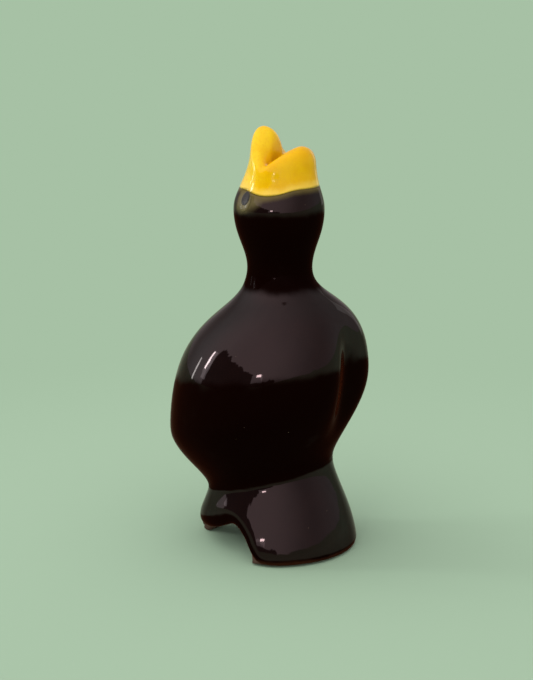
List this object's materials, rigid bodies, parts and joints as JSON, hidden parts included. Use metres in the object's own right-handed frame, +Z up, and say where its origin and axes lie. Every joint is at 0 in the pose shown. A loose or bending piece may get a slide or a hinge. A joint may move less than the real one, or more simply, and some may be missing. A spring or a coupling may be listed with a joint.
{
  "type": "pie bird",
  "caption": "hollow ceramic bird with an open upright beak and an arched skirt that lets steam out of a pie",
  "frame": {"origin": "middle of the bird's plan, on the table under its foot", "axes": "+Z up to the beak, -Y towards the breast, +X towards the bird's left"},
  "size_m": [0.0544, 0.0524, 0.1134],
  "materials": {
    "fired_clay": "bare, matt, sanded on the foot",
    "black_brown_glaze": "very glossy near-black brown, red-brown where thin",
    "yellow_glaze": "glossy warm yellow, ochre where thick"
  },
  "bodies": {
    "root": {"clay_body": "fired_clay", "black_glaze": "black_brown_glaze", "beak_glaze": "yellow_glaze", "inner_glaze": "black_brown_glaze", "left_eye_ring": "yellow_glaze", "right_eye_ring": "yellow_glaze", "left_eye_dot": "black_brown_glaze", "right_eye_dot": "black_brown_glaze"}
  },
  "joints": []
}
